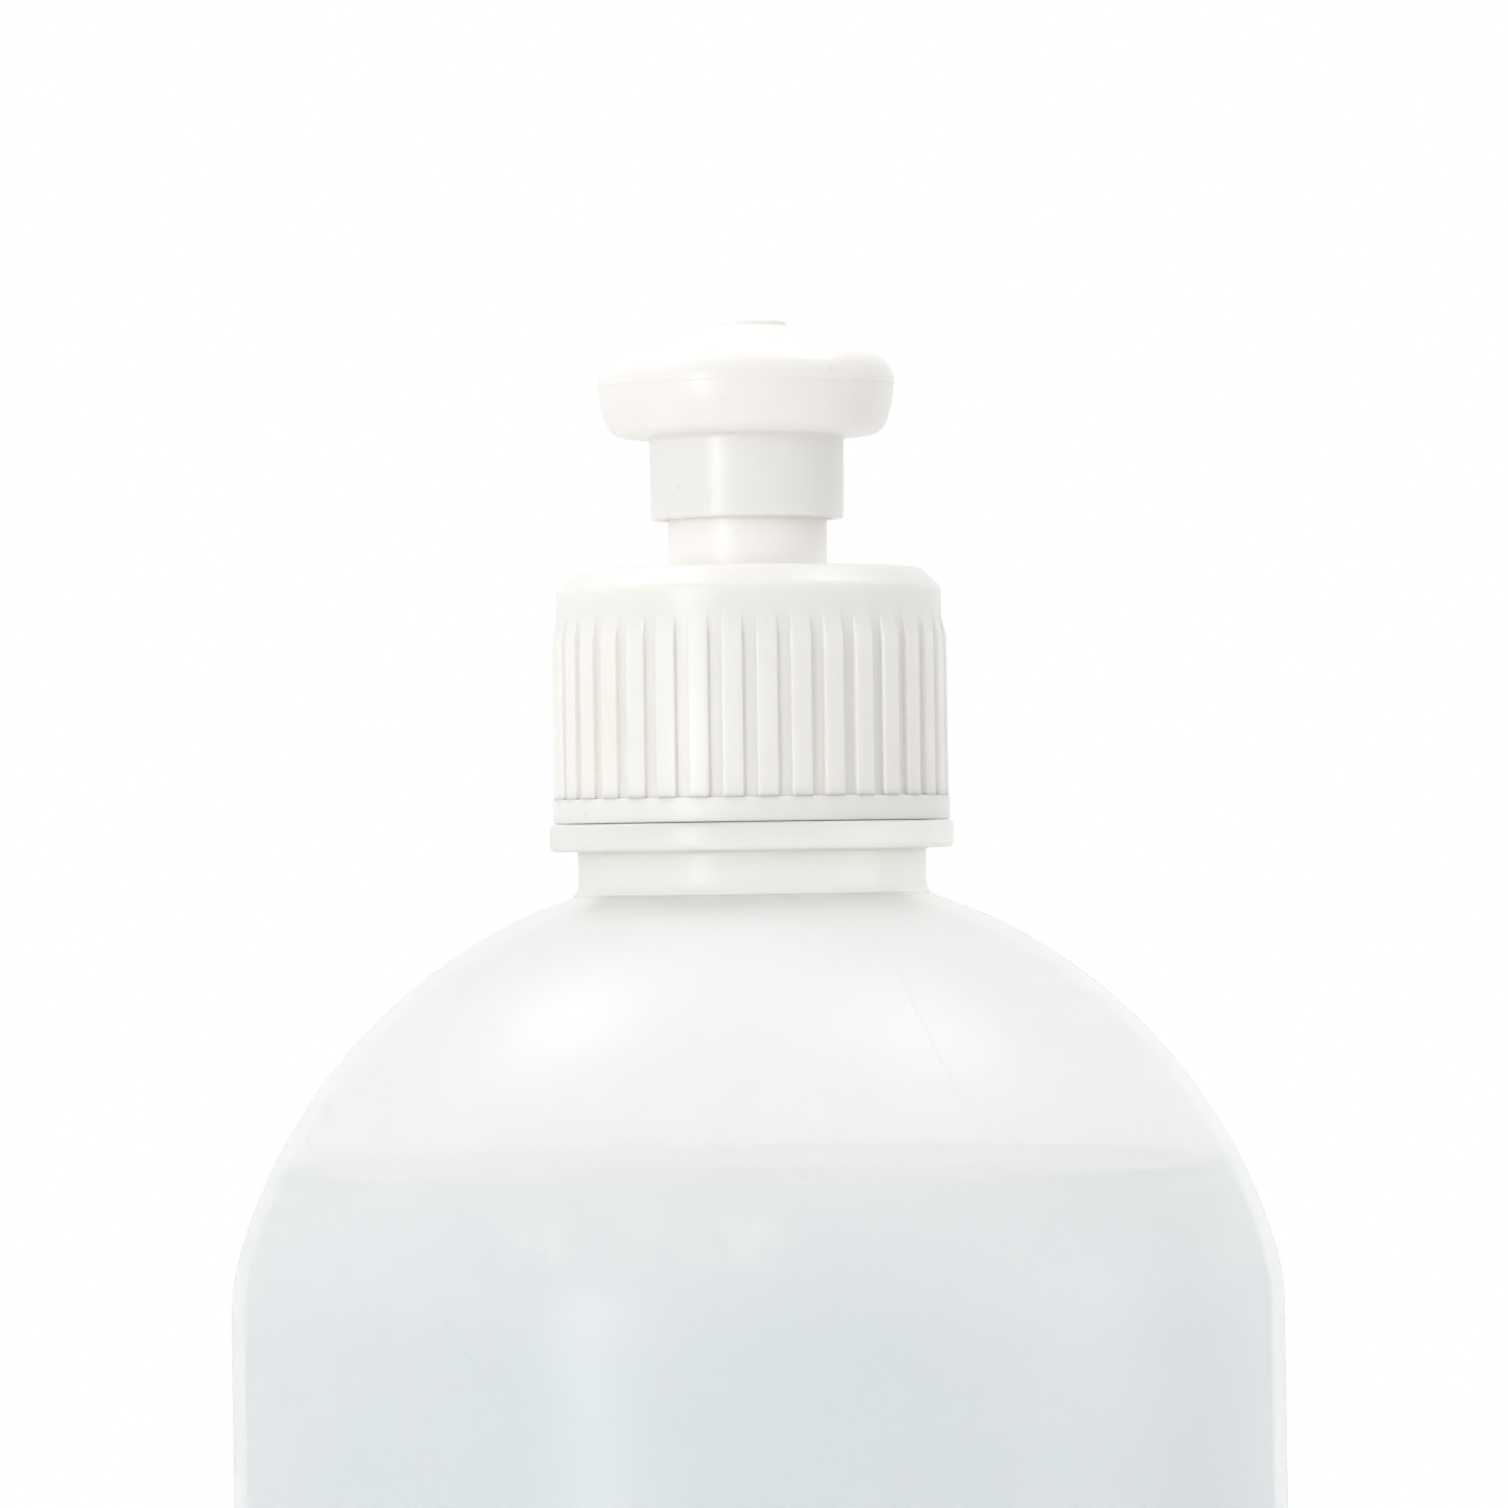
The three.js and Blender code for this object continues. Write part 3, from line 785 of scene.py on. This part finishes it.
def math_node(tree, operation, first, second=0.5):
    """One step of arithmetic."""
    return node(tree, "ShaderNodeMath", {0: first, 1: second}, operation=operation)


# %% Relief
def bump(tree, height, depth, onto=None):
    """Relief of this depth in millimetres, laid over another relief if one is given."""
    sockets = {"Height": height, "Distance": depth * MM, "Strength": 1.0}
    if onto:
        sockets["Normal"] = onto
    return node(tree, "ShaderNodeBump", sockets)


# %% Material helpers
def principled(name):
    """A new material with its node tree and its Principled shader."""
    material = bpy.data.materials.new(name)
    material.use_nodes = True
    return material, material.node_tree, material.node_tree.nodes["Principled BSDF"]


def rgba(colour):
    """A colour with full alpha."""
    return (*colour, 1)


def mottled(tree, pattern, dark, light):
    """Two close colours, mixed over the middle of a soft pattern's range."""
    return mixed(tree, stretch(tree, pattern, 0.35, 0.65), rgba(dark), rgba(light))


def scattering(share, radius, reach):
    """Principled inputs that let a share of the light in, to spread this far in millimetres."""
    return {"Subsurface Weight": share, "Subsurface Radius": radius, "Subsurface Scale": reach * MM}


# %% [markdown]
# The bottle is natural polyethylene: milky, nearly white, with a satin skin as fine as an eggshell.
# Light goes into it, scatters, and comes out again. A glass shader would show the liquid too
# clearly, so the wall is a scattering shader with a share of plain see-through. The neck is thicker,
# hence less see-through and a little greener, and its flange is a shade darker. The neck's tint is
# also painted lighter than the body, with the top of the dome where it fades in, to make up for the
# shade under the flange. Handling left a few fine scratches, each a short line in the local X and Z
# of its own Mapping node. The list gives the two ends of each, across and up from the middle of the
# base, and its width, in millimetres.

# %% Scratches
SCRATCHES = (
    ((8.3, 145.1), (15.2, 130.6), 0.10),
    ((1.4, 115.4), (3.2, 113.9), 0.12),
    ((-21.0, 120.5), (-18.6, 117.2), 0.09),
)


def scratch(tree, place, start, end, width):
    """1 on a fine line between two points on the front of the bottle, 0 elsewhere."""
    across, up = end[0] - start[0], end[1] - start[1]
    length = math.hypot(across, up) * MM
    turn = math.atan2(across, up)
    sockets = {"Vector": place, "Location": (start[0] * MM, 0, start[1] * MM), "Rotation": (0, turn, 0)}
    local = node(tree, "ShaderNodeMapping", sockets, vector_type="TEXTURE")
    split = node(tree, "ShaderNodeSeparateXYZ", {"Vector": local}).node
    beside = math_node(tree, "ABSOLUTE", split.outputs["X"])
    line = stretch(tree, beside, width / 4 * MM, width * MM, 1.0, 0.0)
    begun = stretch(tree, split.outputs["Z"], 0, length / 4)
    ended = stretch(tree, split.outputs["Z"], length * 3 / 4, length, 1.0, 0.0)
    front = stretch(tree, split.outputs["Y"], -1 * MM, 0, 1.0, 0.0)
    for share in (begun, ended, front):
        line = math_node(tree, "MULTIPLY", line, share)
    return line


# %% Tints and skin of the milky plastic
BODY_TINT = ((0.895, 0.895, 0.885), (0.92, 0.92, 0.905))
# The neck's tint is greener, and also painted lighter than the body against the flange's shade.
NECK_TINT_WITH_PAINTED_LIGHT = (0.945, 0.945, 0.885)
FLANGE_TINT = (0.86, 0.87, 0.82)
NECK_FADE = (NECK_BASE - 3, NECK_BASE + 1)
FLANGE_FADE = (FLANGE_BOTTOM - 0.4, FLANGE_BOTTOM)
SATIN = (0.30, 0.37)
SCRATCH_ROUGHNESS = 0.6
MILKY_GLOSS = 0.42
MILKY_REACH = 2
print("the neck's tint begins at", round(NECK_FADE[0], 2), "mm")


# %% Milky plastic
def milky_plastic(name, see_through):
    """Natural polyethylene. A thick wall lets less be seen through it."""
    material, tree, shader = principled(name)
    place = object_place(tree)
    height = node(tree, "ShaderNodeSeparateXYZ", {"Vector": place}, "Z")
    body = mottled(tree, noise(tree, place, size=28, detail=3), *BODY_TINT)
    # Share of the neck's tint with its painted light, fading in over the top of the dome.
    neck_painted_light_share = stretch(tree, height, NECK_FADE[0] * MM, NECK_FADE[1] * MM,
                         interpolation_type="SMOOTHSTEP")
    flange_share = stretch(tree, height, FLANGE_FADE[0] * MM, FLANGE_FADE[1] * MM)
    tint = mixed(tree, neck_painted_light_share, body, rgba(NECK_TINT_WITH_PAINTED_LIGHT))
    tint = mixed(tree, flange_share, tint, rgba(FLANGE_TINT))
    marks = None
    for start, end, width in SCRATCHES:
        line = scratch(tree, place, start, end, width)
        marks = math_node(tree, "MAXIMUM", marks, line) if marks else line
    skin = noise(tree, place, size=0.35, detail=1)
    waves = noise(tree, place, size=16, detail=1)
    relief = bump(tree, waves, depth=0.10)
    relief = bump(tree, skin, depth=0.012, onto=relief)
    relief = bump(tree, math_node(tree, "SUBTRACT", 1.0, marks), depth=0.03, onto=relief)
    rough = stretch(tree, noise(tree, place, size=6, detail=3), *NOISE_MIDDLE, *SATIN)
    scuffed = stretch(tree, marks, 0, 1, 0.0, SCRATCH_ROUGHNESS)
    fill_inputs(tree, shader, {
        "Base Color": tint,
        "Normal": relief,
        "Roughness": math_node(tree, "MAXIMUM", rough, scuffed),
        "Alpha": 1 - see_through,
        "Specular IOR Level": MILKY_GLOSS,
        **scattering(1.0, (1, 1, 1), MILKY_REACH),
    })
    print(name, "nodes:", len(tree.nodes))
    return material


milky_wall = milky_plastic("milky_bottle_wall", see_through=0.62)
milky_neck = milky_plastic("milky_bottle_neck", see_through=0.1)

# %% [markdown]
# The liquid itself is clear with a cold tint. Behind a milky wall nothing of its gloss or of what
# lies behind it shows, only a bluish body of light that ends in a level line. So it gets a shader
# that scatters deeply, with a few paler smudges of fine bubbles just under the surface. The top edge
# of the liquid, where the meniscus curves up, is painted darker: painted shade for the dark line that
# the curved edge shows. Seen at a low angle, the level surface mirrors the pale wall above it, so
# that reflection is painted into its colour, as pale as the wall.

# %% Where the bubbles and the painted shade at the meniscus show
BUBBLE_HEIGHTS = (LIQUID_LEVEL - 6, LIQUID_LEVEL - 4, LIQUID_LEVEL - 3, LIQUID_LEVEL - 2)
BUBBLE_SIDES = (-19, -15, 1, 4)
# Heights over which the meniscus edge turns to its painted shade.
MENISCUS_SHADE_HEIGHTS = (LIQUID_LEVEL - 0.7, LIQUID_LEVEL - 0.4)


def fade_in_and_out(tree, value, places):
    """1 between the two middle places of four, in millimetres, and 0 beyond the outer two."""
    begun = stretch(tree, value, places[0] * MM, places[1] * MM)
    ended = stretch(tree, value, places[2] * MM, places[3] * MM, 1.0, 0.0)
    return math_node(tree, "MULTIPLY", begun, ended)


# %% Liquid finish
LIQUID_TINT = ((0.64, 0.74, 0.79), (0.68, 0.77, 0.815))
BUBBLE_TINT = (0.90, 0.93, 0.95)
MENISCUS_SHADE_TINT = (0.54, 0.64, 0.69)
LIQUID_ROUGHNESS = 0.3
LIQUID_REACH = 40
liquid_finish, tree, shader = principled("descaling_liquid")
place = object_place(tree)
split = node(tree, "ShaderNodeSeparateXYZ", {"Vector": place}).node
across, height = split.outputs["X"], split.outputs["Z"]
body = mottled(tree, noise(tree, place, size=22, detail=2), *LIQUID_TINT)
bubbles = stretch(tree, noise(tree, place, size=3, detail=4), 0.46, 0.58)
for value, places in ((height, BUBBLE_HEIGHTS), (across, BUBBLE_SIDES)):
    bubbles = math_node(tree, "MULTIPLY", bubbles, fade_in_and_out(tree, value, places))
tint = mixed(tree, bubbles, body, rgba(BUBBLE_TINT))
# The meniscus edge is painted darker here: painted shade.
rim = stretch(tree, height, MENISCUS_SHADE_HEIGHTS[0] * MM, MENISCUS_SHADE_HEIGHTS[1] * MM)
fill_inputs(tree, shader, {
    "Base Color": mixed(tree, rim, tint, rgba(MENISCUS_SHADE_TINT)),
    "Normal": bump(tree, noise(tree, place, size=9, detail=1), depth=0.05),
    "Roughness": LIQUID_ROUGHNESS,
    **scattering(1.0, (1, 1, 1), LIQUID_REACH),
})
print("liquid nodes:", len(tree.nodes))

# %% Painted reflection on the level surface
# The level surface's pale colour is a painted reflection of the wall above it.
LEVEL_PAINTED_REFLECTION_TINT = ((0.85, 0.86, 0.86), (0.90, 0.905, 0.90))
level_painted_reflection, tree, shader = principled("liquid_level_painted_reflection")
ripples = noise(tree, object_place(tree), size=8, detail=2)
fill_inputs(tree, shader, {
    "Base Color": mixed(tree, ripples, rgba(LEVEL_PAINTED_REFLECTION_TINT[0]), rgba(LEVEL_PAINTED_REFLECTION_TINT[1])),
    "Normal": bump(tree, ripples, depth=0.05),
    "Roughness": LIQUID_ROUGHNESS,
})
print("level surface nodes:", len(tree.nodes))

# %% [markdown]
# Cap and spout are injection-moulded from the same warm white. Such plastic is a touch mottled, its
# skin has a fine grain, its gloss varies where fingers have been, and dust settles in small specks.
# One flat white would look like chalk, so all of this is in one recipe that serves both pieces,
# with the colour, the roughness and the depth of each. The post belongs to the cap, but it stands
# in the shade of the spout, so a third, paler finish brings it back to the tone of its neighbours.

# %% Moulded plastic
DUST_SHADE = 0.86
WARM_RADIUS = (1, 0.9, 0.8)
MOULDED_REACH = 2
SMOOTHER = 0.04
ROUGHER = 0.05


def moulded_plastic(name, dark, light, roughness, depth):
    """Warm white plastic, mottled between two close colours. Depth is the share that scatters."""
    material, tree, shader = principled(name)
    place = object_place(tree)
    tint = mottled(tree, noise(tree, place, size=7, detail=3), dark, light)
    specks = stretch(tree, noise(tree, place, size=0.9, detail=2), 0.70, 0.76)
    patch = stretch(tree, noise(tree, place, size=9, detail=1), 0.55, 0.7)
    dust = math_node(tree, "MULTIPLY", specks, patch)
    dusty = tuple(DUST_SHADE * c for c in dark)
    relief = bump(tree, noise(tree, place, size=3.5, detail=2), depth=0.012)
    relief = bump(tree, noise(tree, place, size=0.25, detail=1), depth=0.004, onto=relief)
    handling = noise(tree, place, size=4, detail=3)
    fill_inputs(tree, shader, {
        "Base Color": mixed(tree, dust, tint, rgba(dusty)),
        "Normal": relief,
        "Roughness": stretch(tree, handling, *NOISE_MIDDLE, roughness - SMOOTHER, roughness + ROUGHER),
        **scattering(depth, WARM_RADIUS, MOULDED_REACH),
    })
    print(name, "nodes:", len(tree.nodes))
    return material


cap_plastic = moulded_plastic(
    "warm_white_cap", (0.85, 0.83, 0.785), (0.875, 0.855, 0.81), roughness=0.35, depth=0.6)
# The post's paler colour is painted light, against the shade of the spout.
post_plastic_painted_light = moulded_plastic(
    "warm_white_post_painted_light", (0.97, 0.95, 0.92), (0.985, 0.965, 0.935), roughness=0.33, depth=0.1)
spout_plastic = moulded_plastic(
    "warm_white_spout", (0.865, 0.845, 0.815), (0.89, 0.87, 0.84), roughness=0.30, depth=0.3)

# %% [markdown]
# The washer is cut from closed-cell foam. Its cut pores are fine pits. Noise would give soft hollows
# of any size, so a Voronoi texture is used, whose cells are all about as large as real ones. The pits
# are also painted darker than the cell walls, as painted shade inside them.

# %% Foam
FOAM_AND_PIT_SHADE_TINT = ((0.80, 0.79, 0.75), (0.93, 0.92, 0.88))
PORE_SIZE = 0.3
DULL = 0.9
foam, tree, shader = principled("sealing_foam")
place = object_place(tree)
cells = node(tree, "ShaderNodeTexVoronoi", {"Vector": place, "Scale": 1 / (PORE_SIZE * MM)})
# Pits of the pores: they give the relief, and their darker colour is painted shade.
pores_and_pit_shade = stretch(tree, cells, 0.1, 0.5)
fill_inputs(tree, shader, {
    "Base Color": mixed(tree, pores_and_pit_shade, rgba(FOAM_AND_PIT_SHADE_TINT[0]), rgba(FOAM_AND_PIT_SHADE_TINT[1])),
    "Normal": bump(tree, pores_and_pit_shade, depth=0.06),
    "Roughness": DULL,
})
print("foam nodes:", len(tree.nodes))

# %% [markdown]
# Each piece now gets its finish and smooth shading, and the frame is told two things about it:
# the body it moves with, and the solid it stands in for. Three pieces have a second finish: the
# bottle on its thick neck, the cap on its post, and the liquid on its level surface. These could be
# pieces of their own, but each is moulded or poured in one with the rest, so single faces are given
# the second finish instead. A line of the table names a piece, its body, the solid it stands in for
# if there is one, its slot and its finishes.

# %% Dress the pieces
SMOOTH_ANGLE = 35
PIECES = (
    (bottle, "bottle", "bottle", "natural_plastic", (milky_wall, milky_neck)),
    (neck_thread, "bottle", None, "natural_plastic", (milky_neck,)),
    (liquid, "bottle", "liquid", "liquid", (liquid_finish, level_painted_reflection)),
    (washer, "washer", "sealing_washer", "foam", (foam,)),
    (cap, "cap", "cap", "cap_plastic", (cap_plastic, post_plastic_painted_light)),
    (cap_thread, "cap", None, "cap_plastic", (cap_plastic,)),
    (pin, "cap", None, "cap_plastic", (cap_plastic,)),
    (spout, "spout", "spout", "spout_plastic", (spout_plastic,)),
)
for piece, body, solid, slot, finishes in PIECES:
    bpy.ops.object.select_all(action="DESELECT")
    piece.select_set(True)
    bpy.context.view_layer.objects.active = piece
    bpy.ops.object.shade_smooth_by_angle(angle=math.radians(SMOOTH_ANGLE))
    for finish in finishes:
        piece.data.materials.append(finish)
    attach(piece, body)
    if solid:
        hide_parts(solid)
    print(piece.name, "moves with", body)

# %% Second finishes
POST_FOOT = DECK_TOP + 0.1
LEVEL_ZONE = LIQUID_LEVEL - 1.2 * MENISCUS
FACES_UP = 0.6


def second_finish(piece, belongs):
    """Gives the second finish of a piece to the faces that pass the test."""
    for face in piece.data.polygons:
        if belongs(face):
            face.material_index = 1
    print(piece.name, "faces in the second finish:", sum(f.material_index for f in piece.data.polygons))


second_finish(bottle, lambda face: face.center.z > NECK_BASE * MM)
second_finish(cap, lambda face: face.center.z > POST_FOOT * MM)
second_finish(liquid, lambda face: face.center.z > LEVEL_ZONE * MM and face.normal.z > FACES_UP)

# %% [markdown]
# The studio floor is white paper. It stays a plain pale floor near the bottle and keeps its shadow.
# Further out it fades to pure white for the camera and for reflections, so that its edge is lost in
# the background.

# %% Floor
FLOOR_RADIUS = 450
FLOOR_SIDES = 96
PAPER_TINT = ((0.87, 0.87, 0.87), (0.90, 0.90, 0.90))
bpy.ops.object.select_all(action="DESELECT")
bpy.ops.mesh.primitive_circle_add(
    vertices=FLOOR_SIDES, radius=FLOOR_RADIUS * MM, fill_type="NGON", location=(0, 0, 0))
floor = bpy.context.object
floor.name = "studio_floor"
paper, tree, shader = principled("studio_paper")
place = object_place(tree)
fibres = noise(tree, place, size=1.2, detail=3)
fill_inputs(tree, shader, {
    "Base Color": mixed(tree, fibres, rgba(PAPER_TINT[0]), rgba(PAPER_TINT[1])),
    "Normal": bump(tree, fibres, depth=0.03),
    "Roughness": DULL,
})
print("floor", 2 * FLOOR_RADIUS, "mm across")

# %% Fade of the floor
FADE_START = 0.45
FADE_END = 0.95
WHITE = (1, 1, 1, 1)


def white_to_eyes(tree):
    """1 for rays from the camera, from reflections and through clear things, and 0 for light."""
    path = node(tree, "ShaderNodeLightPath", {}).node
    seen = math_node(tree, "MAXIMUM", path.outputs["Is Camera Ray"], path.outputs["Is Glossy Ray"])
    return math_node(tree, "MAXIMUM", seen, path.outputs["Is Transmission Ray"])


outness = node(tree, "ShaderNodeVectorMath", {0: place}, "Value", operation="LENGTH")
faded = stretch(tree, outness, FADE_START * FLOOR_RADIUS * MM, FADE_END * FLOOR_RADIUS * MM,
                interpolation_type="SMOOTHSTEP")
white = node(tree, "ShaderNodeEmission", {"Color": WHITE, "Strength": 1.0})
share = math_node(tree, "MULTIPLY", faded, white_to_eyes(tree))
surface_mix = node(tree, "ShaderNodeMixShader", {0: share, 1: shader.outputs[0], 2: white})
tree.links.new(surface_mix, tree.nodes["Material Output"].inputs["Surface"])
floor.data.materials.append(paper)

# %% [markdown]
# The studio around the bottle is white too. The camera sees it at a strength of 1, which is white.
# As light it is softer, and it comes more from above than from below, as in any room with lamps. A
# picture of a real studio would do this too, but it would also show in the gloss.

# %% World
RISE = (-0.4, 0.6)
FROM_BELOW = 0.50
FROM_ABOVE = 0.91
world = bpy.data.worlds.new("white_studio")
bpy.context.scene.world = world
world.use_nodes = True
tree = world.node_tree
tree.nodes.clear()
direction = node(tree, "ShaderNodeTexCoord", {}, "Generated")
rise = node(tree, "ShaderNodeSeparateXYZ", {"Vector": direction}, "Z")
strength = stretch(tree, rise, *RISE, FROM_BELOW, FROM_ABOVE)
light = node(tree, "ShaderNodeBackground", {"Color": WHITE, "Strength": strength})
seen = node(tree, "ShaderNodeBackground", {"Color": WHITE, "Strength": 1.0})
mix = node(tree, "ShaderNodeMixShader", {0: white_to_eyes(tree), 1: light, 2: seen})
output = tree.nodes.new("ShaderNodeOutputWorld")
tree.links.new(mix, output.inputs["Surface"])
print("world nodes:", len(tree.nodes))

# %% [markdown]
# Four soft boxes do the rest. The tall one at the left draws the bright upright line on bottle, post
# and spout. Two small ones above make the two soft spots on the dome. The fourth is large and fills
# the right side of the bottle. A clear liquid carries light across to that side, as a lens does, and
# the scattering one here doesn't, so this lamp is linked to bottle and liquid and lights only them.

# %% Lamps
LAMP_TARGET = Vector((0, 0, 0.13))
LAMP_DISTANCE = 0.8


def softbox(name, azimuth, elevation, size, watts):
    """An area lamp that looks at the shoulder of the bottle. Azimuth 0 is at the camera."""
    a, e = math.radians(azimuth), math.radians(elevation)
    away = Vector((math.sin(a) * math.cos(e), -math.cos(a) * math.cos(e), math.sin(e)))
    data = bpy.data.lights.new(name, "AREA")
    data.shape = "RECTANGLE"
    data.size, data.size_y = size
    data.energy = watts
    lamp = bpy.data.objects.new(name, data)
    bpy.context.collection.objects.link(lamp)
    lamp.location = LAMP_TARGET + away * LAMP_DISTANCE
    lamp.rotation_euler = away.to_track_quat("Z", "Y").to_euler()
    lamp.visible_camera = False
    print(name, "at", [round(v, 2) for v in lamp.location])
    return lamp


softbox("key_left", azimuth=-36, elevation=4, size=(0.10, 0.4), watts=1.6)
softbox("overhead_left", azimuth=-120, elevation=61, size=(0.25, 0.25), watts=1.25)
softbox("overhead_right", azimuth=107, elevation=63, size=(0.25, 0.25), watts=1.0)
fill = softbox("fill_right", azimuth=75, elevation=5, size=(0.5, 0.5), watts=1.15)

# %% Link the fill to bottle and liquid
lit_by_fill = bpy.data.collections.new("lit_by_fill")
for piece in (bottle, liquid):
    lit_by_fill.objects.link(piece)
fill.light_linking.receiver_collection = lit_by_fill

# %% [markdown]
# The camera of the photograph stood about half a metre away, at the height of the neck, with a long
# lens and a slight tilt to one side. Its place follows from the photograph's scale and horizon, which
# are measured in pixels of the photograph: the row of the horizon, the column of the bottle's axis,
# and one row on the bottle whose height is known.

# %% Camera
PHOTO_SIZE = 1508
FOCAL_PIXELS = 8000
PIXELS_PER_MM = 14.41
HORIZON_ROW = 850
AXIS_COLUMN = 750.7
KNOWN_ROW = 893
KNOWN_HEIGHT = 147.7
ROLL = 0.79
SENSOR = 36
camera_data = bpy.data.cameras.new("camera")
camera_data.sensor_width = SENSOR
camera_data.lens = FOCAL_PIXELS / PHOTO_SIZE * SENSOR
camera = bpy.data.objects.new("camera", camera_data)
bpy.context.collection.objects.link(camera)
distance = FOCAL_PIXELS / PIXELS_PER_MM
eye_height = KNOWN_HEIGHT + (KNOWN_ROW - HORIZON_ROW) / PIXELS_PER_MM
side = (PHOTO_SIZE / 2 - AXIS_COLUMN) / PIXELS_PER_MM
camera.location = (side * MM, -distance * MM, eye_height * MM)
pitch = math.atan((HORIZON_ROW - PHOTO_SIZE / 2) / FOCAL_PIXELS)
aim = Euler((math.pi / 2 + pitch, 0, 0)).to_matrix() @ Euler((0, 0, math.radians(-ROLL))).to_matrix()
camera.rotation_euler = aim.to_euler()
bpy.context.scene.camera = camera
bpy.context.scene.view_settings.view_transform = "Standard"
print("camera at", [round(v, 3) for v in camera.location])
